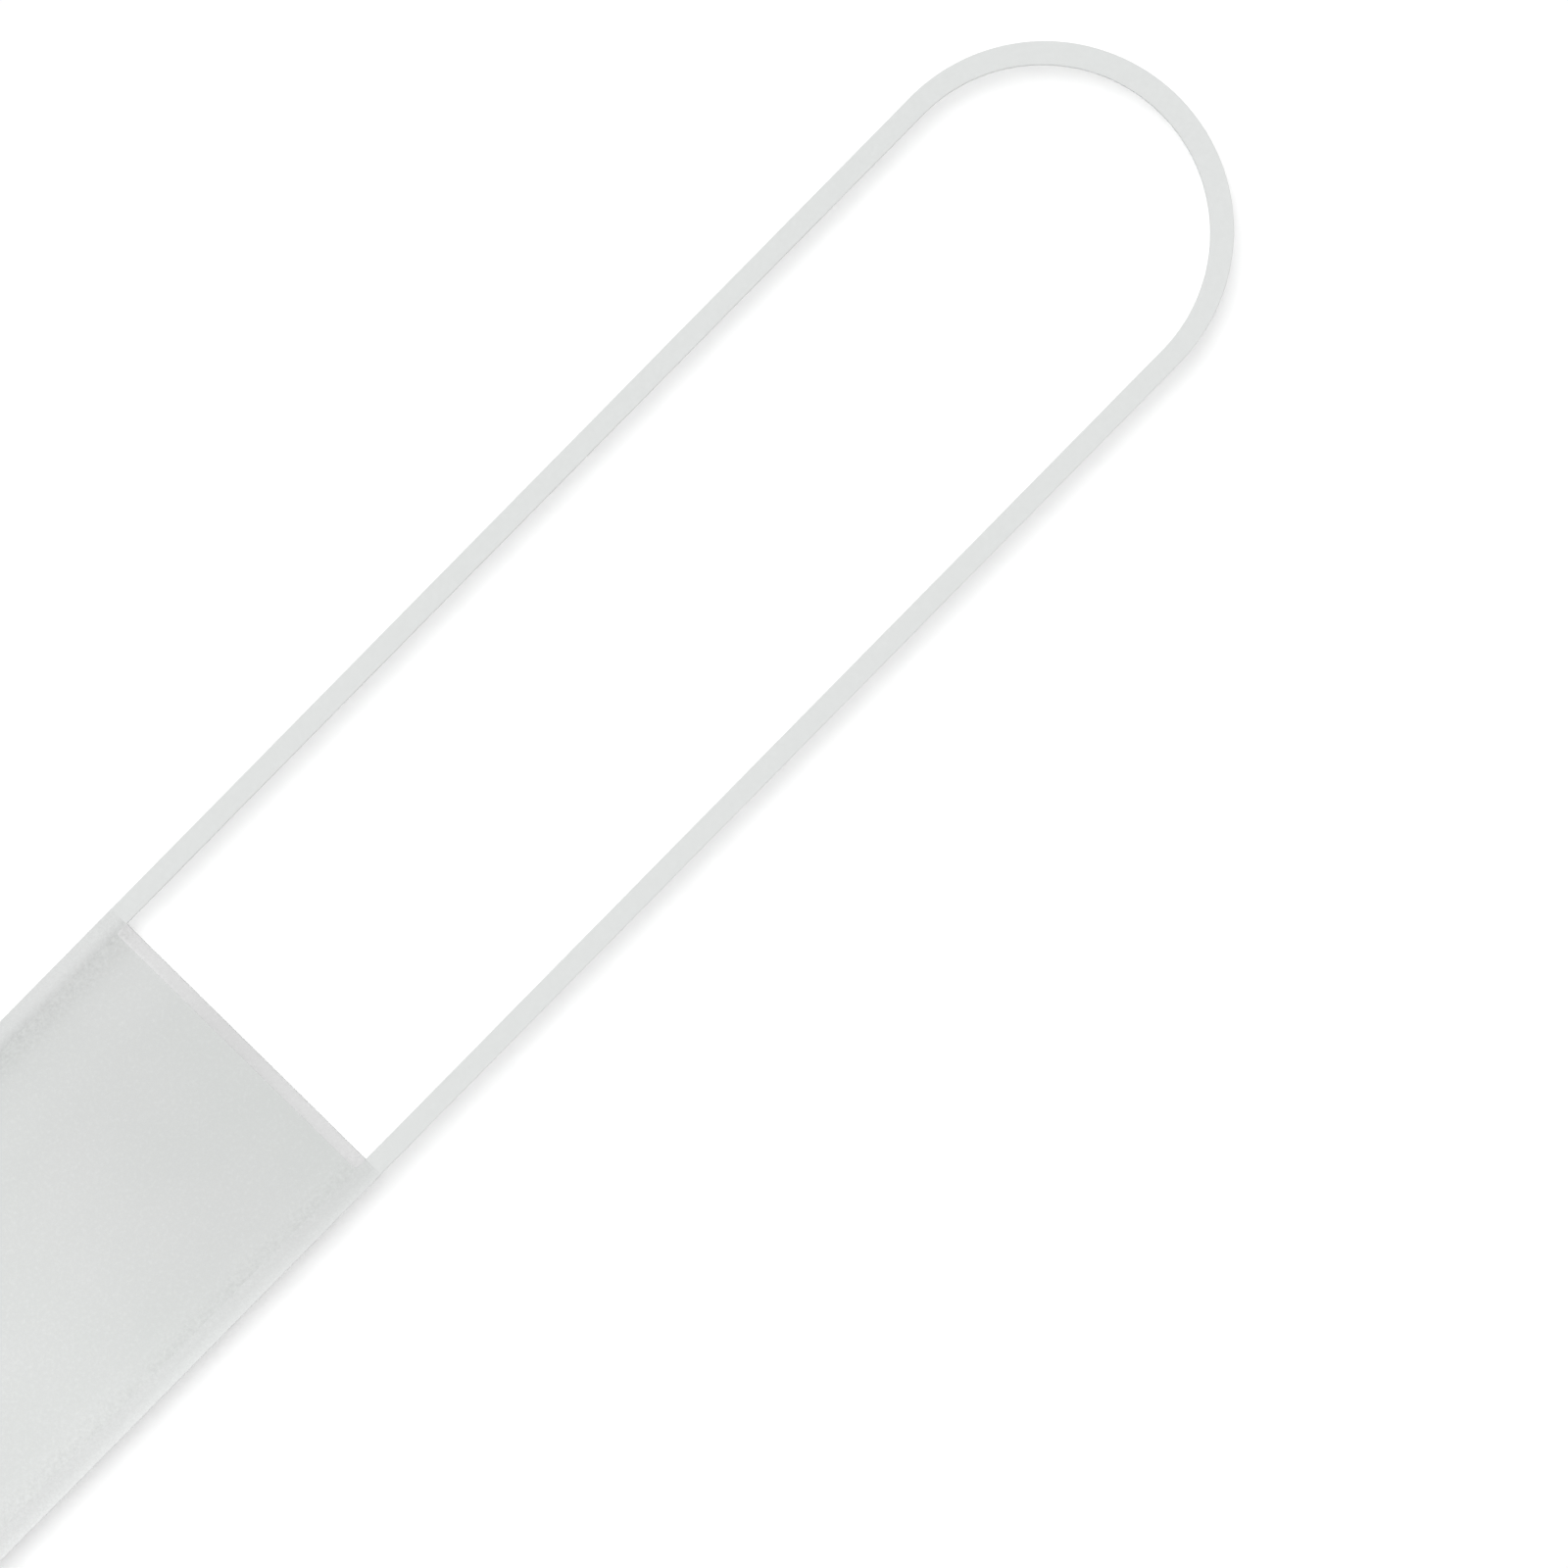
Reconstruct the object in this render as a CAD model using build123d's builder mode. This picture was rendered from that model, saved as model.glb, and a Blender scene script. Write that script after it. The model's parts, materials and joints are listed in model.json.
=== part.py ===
"""LED light tube: a slim light tube bent into a long loop on a flat frosted light body.

The model lies on its back. +X runs along the length, towards the bow of the loop, +Y runs
across, and +Z points up, out of the lit face. The origin is the middle of the resting face.
Lengths are in millimetres.
"""

import math
import os

from build123d import *

os.makedirs("parts", exist_ok=True)

# ---- Driving dimensions -------------------------------------------------------------------

TUBE_WIDTH = 6.0  # width of the light tube, seen from above
WALL = 1.2  # wall of the tube's sleeve and of the frosted rims
HALF_WIDTH = 52.5  # half the width over the loop and over the body
HALF_LENGTH = 300.0  # half the length over everything
LOOP_LENGTH = 368.0  # from the body's border to the tip of the bow
BOW_EXTRA = 0.8  # how much thicker the sleeve is at the tip of the bow
LIP_WIDTH = 4.0  # width of the raised bar across the border
BAR_CORNER = 1.0

FOOT_HEIGHT = 1.5
TRAY_FLOOR = 1.5
TUBE_BOTTOM = 2.0
TOP = 14.0  # top of the tube, of the rims and of the control cover
LEDGE_TOP = 11.0  # what the diffuser and the end bar rest on
DISH_FLOOR = 13.0  # middle of the diffuser's dished face
DISH_RIM = 13.8  # long edges of the diffuser's dished face
DISH_SLOPE = 8.0  # width of the curved slope between the two
RIM_SLOPE = 2.5  # width of the curved inner part of each rim's top
BAR_STEP = 0.15  # how far the bar stands out of the dished face
EDGE_ROUND = 0.15  # rounding of the long top edges and of the buttons

FAR_FACE = -298.0  # outer face of the control end
COVER_LENGTH = 62.0
COVER_WALL = 1.8
FAR_CORNER = 14.0  # radius of the two corners at the control end

# ---- Derived levels and places ------------------------------------------------------------

BORDER = HALF_LENGTH - LOOP_LENGTH
BOW_CENTRE = HALF_LENGTH - HALF_WIDTH
INNER_HALF = HALF_WIDTH - TUBE_WIDTH
RAIL_Y = HALF_WIDTH - TUBE_WIDTH / 2
CAVITY = TUBE_WIDTH - 2 * WALL
TRAY_BOTTOM = FOOT_HEIGHT
TRAY_TOP = TRAY_BOTTOM + TRAY_FLOOR
FRAME_END = FAR_FACE + COVER_LENGTH
COVER_ROOF = TOP - COVER_WALL
END_WALL = FAR_FACE + COVER_WALL
GAP = 0.1  # between fixed pieces that slip into each other
PLAY = 0.3  # round pieces that move

RAIL_HEIGHT = 3.0
RAIL_END = -230.0
STRIP_BOARD_END = RAIL_END - 2.0
STRIP_BOARD_BOTTOM = TRAY_TOP + RAIL_HEIGHT
STRIP_BOARD_TOP = STRIP_BOARD_BOTTOM + 0.8
LED_PITCH = 1000 / 60  # sixty lights to the metre

FRAME_BOSSES = [(x, y) for x in (-226.0, -150.0, -78.0) for y in (-42.5, 42.5)]
COVER_BOSSES = [(x, y) for x in (-291.0, -252.0) for y in (-45.0, 45.0)]
RAIL_SCREWS = [(x, y) for x in (-210.0, -150.0, -90.0) for y in (-RAIL_Y, RAIL_Y)]
BLOCK_SCREWS = [(-283.0, -7.0), (-283.0, 7.0)]
BOARD_SCREWS = [(x, y) for x in (-279.0, -246.0) for y in (-37.0, 37.0)]
PANEL_SCREWS = [(x, y) for x in (-219.0, -83.0) for y in (-35.5, 35.5)]
CASE_PILOT = 1.05  # radii of the holes the screws cut their threads in
RAIL_PILOT = 0.95
BLOCK_PILOT = 1.3
BOARD_PILOT = 1.0
BOSS_RADIUS = 3.0
POST_RADIUS = 2.5  # posts that carry the two boards

FEET_X = (-272.0, -92.0)
FOOT_LENGTH = 64.0
FOOT_WIDTH = 8.0
FOOT_POCKET = 0.5

PLATE_BOTTOM = 7.0
PLATE_TOP = 8.0
PANEL_BOARD_TOP = 8.8
PANEL_ENDS = (-222.0, -80.0)
PANEL_HALF = 38.5
PANEL_MIDDLE = (PANEL_ENDS[0] + PANEL_ENDS[1]) / 2
PANEL_LENGTH = PANEL_ENDS[1] - PANEL_ENDS[0]

CELL_ENDS = (-210.0, -92.0)
CELL_WIDTH = 62.0
CELL_GAP = 2.0
PAD_TOP = TRAY_TOP + 0.4
CELL_TOP = 6.8

BOARD_BOTTOM = 5.1
BOARD_TOP = 6.1
BOARD_ENDS = (-295.0, -243.0)
BOARD_HALF = 40.0
SOCKET_FACE = -244.5  # where the wires enter their sockets
WIRE_Z = 7.6
BATTERY_Y = -12.0
PANEL_LEAD_Y = 12.0
TUBE_LEAD_Y = 28.0

THREAD_RADIUS = 2.55  # wall of a 1/4"-20 threaded hole
THREAD_LENGTH = 14.0
THREAD_Z = 7.6
COLLAR_RADIUS = 4.0  # metal ring round the thread, flush with the end wall
BLOCK_LENGTH = 18.0
BLOCK_WIDTH = 22.0

WHEEL_X = -291.2
WHEEL_Y = -28.0
WHEEL_RADIUS = 8.8
WHEEL_BOTTOM = 7.3
WHEEL_THICKNESS = 4.0
WHEEL_SLOT = 16.0  # length of the slot in the end wall
WHEEL_GROOVES = 36
AXLE_RADIUS = 1.5
POT_TOP = 7.0

BUTTON_X = -262.0
POWER_Y = 24.0
POWER_RADIUS = 6.5
COLOUR_Y = 4.0
COLOUR_RADIUS = 4.5
BUTTON_TOP = 14.7
BUTTON_TRAVEL = 0.5
SWITCH_TOP = 9.6
LEVEL_Y = -20.0
LEVEL_PITCH = 4.5
LEVEL_WIDTH = 2.0
LEVEL_LENGTH = 3.0
USB_Y = 26.0
USB_WIDTH = 8.94
USB_HEIGHT = 3.26
USB_Z = 7.73


# ---- Shared outlines ----------------------------------------------------------------------


def bow_outline(half, start, centre, mode=Mode.ADD):
    """A straight strip from start that ends in a half round about centre."""
    with Locations(((start + centre) / 2, 0)):
        Rectangle(centre - start, 2 * half, mode=mode)
    with Locations((centre, 0)):
        Circle(half, mode=mode)


def rail_band(width, start):
    """A band of constant width along the middle of the tube, down both legs to start."""
    bow_outline(RAIL_Y + width / 2, start, BOW_CENTRE)
    bow_outline(RAIL_Y - width / 2, start - 1, BOW_CENTRE, mode=Mode.SUBTRACT)


def far_outline(inset, end):
    """The rounded plan of the control end, inset from the outside, up to x = end."""
    reach = end - FAR_FACE - inset
    with Locations((FAR_FACE + inset + reach / 2, 0)):
        Rectangle(reach, 2 * (HALF_WIDTH - inset))
    far_corners = vertices().group_by(Axis.X)[0]
    fillet(far_corners, radius=FAR_CORNER - inset)


def pilot_holes(places, radius, bottom, depth):
    """Blind screw holes that run up from z = bottom."""
    with Locations(*[(x, y, bottom) for x, y in places]):
        Cylinder(radius, depth, align=(Align.CENTER, Align.CENTER, Align.MIN), mode=Mode.SUBTRACT)


def screws(places, head_radius, head_z, shank_radius, length):
    """Countersunk screws with a cross slot, pointing up from head_z, as separate solids."""
    head_height = head_radius - shank_radius
    slot_length = 1.2 * head_radius
    slot_width = 0.45
    slot_depth = 0.6
    with BuildPart() as screw:
        with BuildSketch(Plane.XZ):
            with BuildLine():
                Polyline(
                    (0, 0),
                    (head_radius, 0),
                    (shank_radius, head_height),
                    (shank_radius, length),
                    (0, length),
                    close=True,
                )
            make_face()
        revolve(axis=Axis.Z)
        with BuildSketch():
            Rectangle(slot_length, slot_width)
            Rectangle(slot_width, slot_length)
        extrude(amount=slot_depth, mode=Mode.SUBTRACT)
    with BuildPart() as group:
        with Locations(*[(x, y, head_z) for x, y in places]):
            add(screw.part)
    return group


def bent_lead(points, radius):
    """A round lead along straight runs, with arcs as large as the two runs at each corner allow."""
    corners = [Vector(*point) for point in points]
    bends = []
    for before, corner, after in zip(corners, corners[1:], corners[2:]):
        incoming = corner - before
        outgoing = after - corner
        half_turn = math.radians(incoming.get_angle(outgoing) / 2)
        bends.append(0.45 * min(incoming.length, outgoing.length) / math.tan(half_turn))
    with BuildPart() as lead:
        with BuildLine() as route:
            FilletPolyline(*points, radius=bends)
        with BuildSketch(Plane(origin=route.line @ 0, z_dir=route.line % 0)):
            Circle(radius)
        sweep()
    return lead


# ---- Loop ---------------------------------------------------------------------------------

with BuildPart() as light_tube:
    with BuildSketch(Plane.XY.offset(TUBE_BOTTOM)):
        bow_outline(HALF_WIDTH, BORDER, BOW_CENTRE)
        bow_outline(INNER_HALF, BORDER - 1, BOW_CENTRE - BOW_EXTRA, mode=Mode.SUBTRACT)
    extrude(amount=TOP - TUBE_BOTTOM)
    tube_top_edges = edges().group_by(Axis.Z)[-1].filter_by(Axis.Y, reverse=True)
    fillet(tube_top_edges, radius=EDGE_ROUND)
    with BuildSketch(Plane.XY.offset(TUBE_BOTTOM)):
        rail_band(CAVITY, BORDER)
    extrude(amount=TOP - WALL - TUBE_BOTTOM, mode=Mode.SUBTRACT)

with BuildPart() as tube_base_strip:
    with BuildSketch(Plane.XY.offset(TUBE_BOTTOM)):
        rail_band(CAVITY - GAP, BORDER)
    extrude(amount=TRAY_TOP - TUBE_BOTTOM)

with BuildPart() as tube_spine:
    with BuildSketch(Plane.XY.offset(TRAY_TOP)):
        rail_band(CAVITY - GAP, RAIL_END)
    extrude(amount=RAIL_HEIGHT)
    pilot_holes(RAIL_SCREWS, RAIL_PILOT, TRAY_TOP, RAIL_HEIGHT - 0.5)

with BuildPart() as tube_led_board:
    with BuildSketch(Plane.XY.offset(STRIP_BOARD_BOTTOM)):
        rail_band(CAVITY - 4 * GAP, STRIP_BOARD_END)
    extrude(amount=STRIP_BOARD_TOP - STRIP_BOARD_BOTTOM)

leg_length = BOW_CENTRE - RAIL_END
bow_length = math.pi * RAIL_Y
led_count = int((2 * leg_length + bow_length) / LED_PITCH)
first_led = (2 * leg_length + bow_length - (led_count - 1) * LED_PITCH) / 2
led_places = []
for number in range(led_count):
    travel = first_led + number * LED_PITCH
    if travel < leg_length:
        led_places.append(Location((RAIL_END + travel, -RAIL_Y)))
    elif travel < leg_length + bow_length:
        turn = math.degrees((travel - leg_length) / RAIL_Y) - 90
        x = BOW_CENTRE + RAIL_Y * math.cos(math.radians(turn))
        y = RAIL_Y * math.sin(math.radians(turn))
        led_places.append(Location((x, y, 0), (0, 0, turn + 90)))
    else:
        back = travel - leg_length - bow_length
        led_places.append(Location((BOW_CENTRE - back, RAIL_Y)))

with BuildPart() as tube_leds:
    with BuildSketch(Plane.XY.offset(STRIP_BOARD_TOP)):
        with Locations(*led_places):
            Rectangle(3.0, 1.4)
    extrude(amount=0.7)

# ---- Frosted front of the body --------------------------------------------------------------

frame_length = BORDER - FRAME_END
frame_middle = (BORDER + FRAME_END) / 2
border_wall = 2.0
ledge_width = 2.0
ledge_thickness = 1.0
bridge_width = 4.0
bridge_height = 2.5
web_length = 4.4
web_width = 2.0
case_pilot_depth = 7.0

with BuildPart() as light_frame:
    with BuildSketch(Plane.YZ.offset(FRAME_END)):
        with BuildLine():
            Polyline(
                (INNER_HALF, DISH_RIM),
                (INNER_HALF, TRAY_TOP),
                (HALF_WIDTH, TRAY_TOP),
                (HALF_WIDTH, TOP),
                (INNER_HALF + RIM_SLOPE, TOP),
            )
            TangentArc((INNER_HALF + RIM_SLOPE, TOP), (INNER_HALF, DISH_RIM), tangent=(-1, 0))
        make_face()
        outer_corner = vertices().group_by(Axis.X)[-1].sort_by(Axis.Y)[-1]
        fillet(outer_corner, radius=EDGE_ROUND)
        mirror(about=Plane.YZ)
    extrude(amount=frame_length)
    with BuildSketch(Plane.XY.offset(TRAY_TOP)):
        with Locations((BORDER - border_wall / 2, 0)):
            Rectangle(border_wall, 2 * INNER_HALF)
    extrude(amount=LEDGE_TOP - TRAY_TOP)
    with BuildSketch(Plane.XY.offset(LEDGE_TOP)):
        with Locations((frame_middle, 0)):
            Rectangle(frame_length, 2 * INNER_HALF)
        with Locations((frame_middle - (border_wall + ledge_width - bridge_width) / 2, 0)):
            Rectangle(
                frame_length - border_wall - ledge_width - bridge_width,
                2 * (INNER_HALF - ledge_width),
                mode=Mode.SUBTRACT,
            )
    extrude(amount=-ledge_thickness)
    with BuildSketch(Plane.XY.offset(LEDGE_TOP)):
        with Locations((FRAME_END + bridge_width / 2, 0)):
            Rectangle(bridge_width, 2 * INNER_HALF)
    extrude(amount=-bridge_height)
    with BuildSketch(Plane.XY.offset(TRAY_TOP)):
        for boss_x, boss_y in FRAME_BOSSES:
            side = math.copysign(1, boss_y)
            with Locations((boss_x, boss_y)):
                Circle(BOSS_RADIUS)
            with Locations((boss_x, boss_y + side * web_length / 2)):
                Rectangle(web_width, web_length)
    extrude(amount=LEDGE_TOP - TRAY_TOP)
    pilot_holes(FRAME_BOSSES, CASE_PILOT, TRAY_TOP, case_pilot_depth)
    with BuildSketch(Plane.XY.offset(TRAY_TOP)):
        with Locations((frame_middle, -RAIL_Y), (frame_middle, RAIL_Y)):
            Rectangle(frame_length, CAVITY)
    extrude(amount=TOP - WALL - TRAY_TOP, mode=Mode.SUBTRACT)

panel_end = BORDER - LIP_WIDTH - GAP / 2
panel_start = FRAME_END + GAP
dish_half = INNER_HALF - GAP
slope_start = dish_half - DISH_SLOPE


def dish_section(lift):
    """Section across the dished face, raised by lift: flat, with an arc up to each long edge."""
    with BuildLine() as outline:
        Line((0, DISH_FLOOR + lift), (slope_start, DISH_FLOOR + lift))
        TangentArc(
            (slope_start, DISH_FLOOR + lift),
            (dish_half, DISH_RIM + lift),
            tangent=(1, 0),
        )
        Polyline(
            (dish_half, DISH_RIM + lift),
            (dish_half, LEDGE_TOP),
            (0, LEDGE_TOP),
            (0, DISH_FLOOR + lift),
        )
    make_face(outline.edges())
    mirror(about=Plane.YZ)


with BuildPart() as diffuser_panel:
    with BuildSketch(Plane.YZ.offset(panel_start)):
        dish_section(0)
    extrude(amount=panel_end - panel_start)

with BuildPart() as end_bar:
    with BuildSketch(Plane.YZ.offset(BORDER - LIP_WIDTH)):
        dish_section(BAR_STEP)
    extrude(amount=LIP_WIDTH)
    bar_corners = edges().filter_by(Axis.Z).group_by(Axis.X)[0]
    fillet(bar_corners, radius=BAR_CORNER)

# ---- Back and control end -------------------------------------------------------------------

panel_boss_height = PLATE_BOTTOM - TRAY_TOP
board_boss_height = BOARD_BOTTOM - TRAY_TOP
cell_middle = (CELL_ENDS[0] + CELL_ENDS[1]) / 2
cell_zone = CELL_ENDS[1] - CELL_ENDS[0]
rib_width = 1.2
rib_length = 14.0
rib_height = 2.0
end_rib_y = 22.0

with BuildPart() as bottom_tray:
    with BuildSketch(Plane.XY.offset(TRAY_BOTTOM)):
        far_outline(0, BORDER)
    extrude(amount=TRAY_FLOOR)
    with BuildSketch(Plane.XY.offset(TRAY_TOP)):
        with Locations(*PANEL_SCREWS):
            Circle(POST_RADIUS)
    extrude(amount=panel_boss_height)
    with BuildSketch(Plane.XY.offset(TRAY_TOP)):
        with Locations(*BOARD_SCREWS):
            Circle(POST_RADIUS)
    extrude(amount=board_boss_height)
    rib_places = []
    for rib_x in (CELL_ENDS[0] - rib_width, CELL_ENDS[1] + rib_width):
        rib_places += [Location((rib_x, end_rib_y)), Location((rib_x, -end_rib_y))]
    for rib_x in (cell_middle - cell_zone / 4, cell_middle + cell_zone / 4):
        for rib_y in (-CELL_WIDTH / 2 - rib_width, CELL_WIDTH / 2 + rib_width):
            rib_places.append(Location((rib_x, rib_y, 0), (0, 0, 90)))
    with BuildSketch(Plane.XY.offset(TRAY_TOP)):
        with Locations(*rib_places):
            Rectangle(rib_width, rib_length)
    extrude(amount=rib_height)
    underside = Plane(origin=(0, 0, TRAY_BOTTOM), x_dir=(1, 0, 0), z_dir=(0, 0, -1))
    with Locations(underside):
        with Locations(*[(x, -y) for x, y in FRAME_BOSSES + COVER_BOSSES]):
            CounterSinkHole(1.1, 2.0, depth=TRAY_FLOOR, counter_sink_angle=90)
        with Locations(*[(x, -y) for x, y in RAIL_SCREWS]):
            CounterSinkHole(1.0, 1.7, depth=TRAY_FLOOR, counter_sink_angle=90)
        with Locations(*[(x, -y) for x, y in BLOCK_SCREWS]):
            CounterSinkHole(1.35, 2.3, depth=TRAY_FLOOR, counter_sink_angle=90)
    pilot_holes(PANEL_SCREWS, BOARD_PILOT, TRAY_TOP, panel_boss_height)
    pilot_holes(BOARD_SCREWS, BOARD_PILOT, TRAY_TOP, board_boss_height)
    with BuildSketch(Plane.XY.offset(TRAY_BOTTOM)):
        with Locations(*[(x, 0) for x in FEET_X]):
            SlotOverall(FOOT_LENGTH + 2 * GAP, FOOT_WIDTH + 2 * GAP, rotation=90)
    extrude(amount=FOOT_POCKET, mode=Mode.SUBTRACT)

with BuildPart() as rubber_strips:
    with BuildSketch():
        with Locations(*[(x, 0) for x in FEET_X]):
            SlotOverall(FOOT_LENGTH, FOOT_WIDTH, rotation=90)
    extrude(amount=TRAY_BOTTOM + FOOT_POCKET)
    fillet(edges().group_by(Axis.Z)[0], radius=0.4)

with BuildPart() as control_cover:
    with BuildSketch(Plane.XY.offset(TRAY_TOP)):
        far_outline(0, FRAME_END)
    extrude(amount=TOP - TRAY_TOP)
    cover_top_edges = edges().group_by(Axis.Z)[-1].sort_by(Axis.X)[:-1]
    fillet(cover_top_edges, radius=0.6)
    with BuildSketch(Plane.XY.offset(TRAY_TOP)):
        far_outline(COVER_WALL, FRAME_END)
    extrude(amount=COVER_ROOF - TRAY_TOP, mode=Mode.SUBTRACT)
    with BuildSketch(Plane.XY.offset(TRAY_TOP)):
        with Locations(*COVER_BOSSES):
            Circle(BOSS_RADIUS)
    extrude(amount=COVER_ROOF - TRAY_TOP)
    pilot_holes(COVER_BOSSES, CASE_PILOT, TRAY_TOP, case_pilot_depth)
    with Locations((BUTTON_X, POWER_Y, TOP)):
        Hole(POWER_RADIUS + PLAY, depth=COVER_WALL)
    with Locations((BUTTON_X, COLOUR_Y, TOP)):
        Hole(COLOUR_RADIUS + PLAY, depth=COVER_WALL)
    with BuildSketch(Plane.XY.offset(TOP)):
        with Locations((BUTTON_X, LEVEL_Y)):
            with GridLocations(0, LEVEL_PITCH, 1, 4):
                Rectangle(LEVEL_WIDTH + GAP, LEVEL_LENGTH + GAP)
    extrude(amount=-COVER_WALL, mode=Mode.SUBTRACT)
    with BuildSketch(Plane.YZ.offset(FAR_FACE)):
        with Locations((0, THREAD_Z)):
            Circle(COLLAR_RADIUS + GAP)
        with Locations((USB_Y, USB_Z)):
            SlotOverall(USB_WIDTH + 0.4, USB_HEIGHT + 0.4)
        with Locations((WHEEL_Y, WHEEL_BOTTOM + WHEEL_THICKNESS / 2)):
            Rectangle(WHEEL_SLOT, WHEEL_THICKNESS + 2 * PLAY)
    extrude(amount=COVER_WALL, mode=Mode.SUBTRACT)

with BuildPart() as mount_block:
    with BuildSketch(Plane.XY.offset(TRAY_TOP)):
        with Locations((END_WALL + BLOCK_LENGTH / 2, 0)):
            RectangleRounded(BLOCK_LENGTH, BLOCK_WIDTH, 1.5)
    extrude(amount=COVER_ROOF - GAP - TRAY_TOP)
    with BuildSketch(Plane.YZ.offset(FAR_FACE)):
        with Locations((0, THREAD_Z)):
            Circle(COLLAR_RADIUS)
    extrude(amount=COVER_WALL)
    with BuildSketch(Plane.YZ.offset(FAR_FACE)):
        with Locations((0, THREAD_Z)):
            Circle(THREAD_RADIUS)
    extrude(amount=THREAD_LENGTH, mode=Mode.SUBTRACT)
    pilot_holes(BLOCK_SCREWS, BLOCK_PILOT, TRAY_TOP, 6.0)

# ---- Controls -------------------------------------------------------------------------------

wheel_top = WHEEL_BOTTOM + WHEEL_THICKNESS
flange_top = COVER_ROOF - GAP
flange_bottom = flange_top - 1.0
flange_width = 1.0
button_border = 1.6
button_recess = 0.2
stem_radius = 2.0
stem_bottom = SWITCH_TOP + BUTTON_TRAVEL + GAP
switch_body_top = BOARD_TOP + 3.0
groove_radius = 0.45

with BuildPart() as dimmer_wheel:
    with Locations((WHEEL_X, WHEEL_Y, WHEEL_BOTTOM)):
        Cylinder(
            WHEEL_RADIUS,
            WHEEL_THICKNESS,
            align=(Align.CENTER, Align.CENTER, Align.MIN),
        )
    chamfer(edges().filter_by(GeomType.CIRCLE), length=0.5)
    with BuildSketch(Plane.XY.offset(WHEEL_BOTTOM)):
        with Locations((WHEEL_X, WHEEL_Y)):
            with PolarLocations(WHEEL_RADIUS + GAP, WHEEL_GROOVES, start_angle=5):
                Circle(groove_radius)
    extrude(amount=WHEEL_THICKNESS, mode=Mode.SUBTRACT)
    with Locations((WHEEL_X, WHEEL_Y, wheel_top)):
        Hole(AXLE_RADIUS + 0.05, depth=WHEEL_THICKNESS)

with BuildPart() as dimmer_pot:
    with BuildSketch(Plane.XY.offset(BOARD_TOP)):
        with Locations((WHEEL_X, WHEEL_Y)):
            RectangleRounded(8.4, 13.0, 0.8)
    extrude(amount=POT_TOP - BOARD_TOP)

with BuildPart() as wheel_axle:
    with BuildSketch(Plane.XY.offset(POT_TOP)):
        with Locations((WHEEL_X, WHEEL_Y)):
            Circle(AXLE_RADIUS)
    extrude(amount=COVER_ROOF - POT_TOP)


def button(radius, y):
    """A round cap that stands proud of the cover, with a retaining flange and a stem below."""
    with BuildPart() as cap:
        with BuildSketch(Plane.XY.offset(flange_top)):
            with Locations((BUTTON_X, y)):
                Circle(radius)
        extrude(amount=BUTTON_TOP - flange_top)
        fillet(edges().group_by(Axis.Z)[-1], radius=EDGE_ROUND)
        with BuildSketch(Plane.XY.offset(BUTTON_TOP)):
            with Locations((BUTTON_X, y)):
                Circle(radius - button_border)
        extrude(amount=-button_recess, mode=Mode.SUBTRACT)
        with BuildSketch(Plane.XY.offset(flange_bottom)):
            with Locations((BUTTON_X, y)):
                Circle(radius + flange_width)
        extrude(amount=flange_top - flange_bottom)
        with BuildSketch(Plane.XY.offset(stem_bottom)):
            with Locations((BUTTON_X, y)):
                Circle(stem_radius)
        extrude(amount=flange_bottom - stem_bottom)
    return cap


power_button = button(POWER_RADIUS, POWER_Y)
colour_button = button(COLOUR_RADIUS, COLOUR_Y)

with BuildPart() as tact_switches:
    with BuildSketch(Plane.XY.offset(BOARD_TOP)):
        with Locations((BUTTON_X, POWER_Y), (BUTTON_X, COLOUR_Y)):
            Rectangle(6.0, 6.0)
    extrude(amount=switch_body_top - BOARD_TOP)
    with BuildSketch(Plane.XY.offset(switch_body_top)):
        with Locations((BUTTON_X, POWER_Y), (BUTTON_X, COLOUR_Y)):
            Circle(1.6)
    extrude(amount=SWITCH_TOP - switch_body_top)

with BuildPart() as level_leds:
    with BuildSketch(Plane.XY.offset(BOARD_TOP)):
        with Locations((BUTTON_X, LEVEL_Y)):
            with GridLocations(0, LEVEL_PITCH, 1, 4):
                Rectangle(0.8, 1.6)
    extrude(amount=0.6)

with BuildPart() as light_pipe:
    with BuildSketch(Plane.XY.offset(COVER_ROOF - GAP)):
        with Locations((BUTTON_X, LEVEL_Y)):
            Rectangle(5.0, 4 * LEVEL_PITCH + 2.0)
    extrude(amount=-1.4)
    with BuildSketch(Plane.XY.offset(BOARD_TOP + 1.0)):
        with Locations((BUTTON_X, LEVEL_Y)):
            with GridLocations(0, LEVEL_PITCH, 1, 4):
                Rectangle(LEVEL_WIDTH, LEVEL_LENGTH)
    extrude(amount=TOP - GAP - BOARD_TOP - 1.0)

# ---- Electronics ----------------------------------------------------------------------------

board_length = BOARD_ENDS[1] - BOARD_ENDS[0]
board_middle = (BOARD_ENDS[0] + BOARD_ENDS[1]) / 2
block_notch = END_WALL + BLOCK_LENGTH + 0.5 - BOARD_ENDS[0]
board_hole = 1.1

with BuildPart() as driver_board:
    with BuildSketch(Plane.XY.offset(BOARD_BOTTOM)):
        with Locations((board_middle, 0)):
            RectangleRounded(board_length, 2 * BOARD_HALF, 1.0)
        with Locations((BOARD_ENDS[0] + block_notch / 2, 0)):
            Rectangle(block_notch, BLOCK_WIDTH + 1.0, mode=Mode.SUBTRACT)
        with Locations(*BOARD_SCREWS):
            Circle(board_hole, mode=Mode.SUBTRACT)
    extrude(amount=BOARD_TOP - BOARD_BOTTOM)

with BuildPart() as driver_chips:
    with BuildSketch(Plane.XY.offset(BOARD_TOP)):
        with Locations((-254.0, -30.0), (-254.0, 14.0), (-270.0, 12.0)):
            Rectangle(5.0, 5.0)
        with Locations((-272.0, -5.0)):
            Rectangle(4.0, 6.0)
    extrude(amount=1.0)

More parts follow.
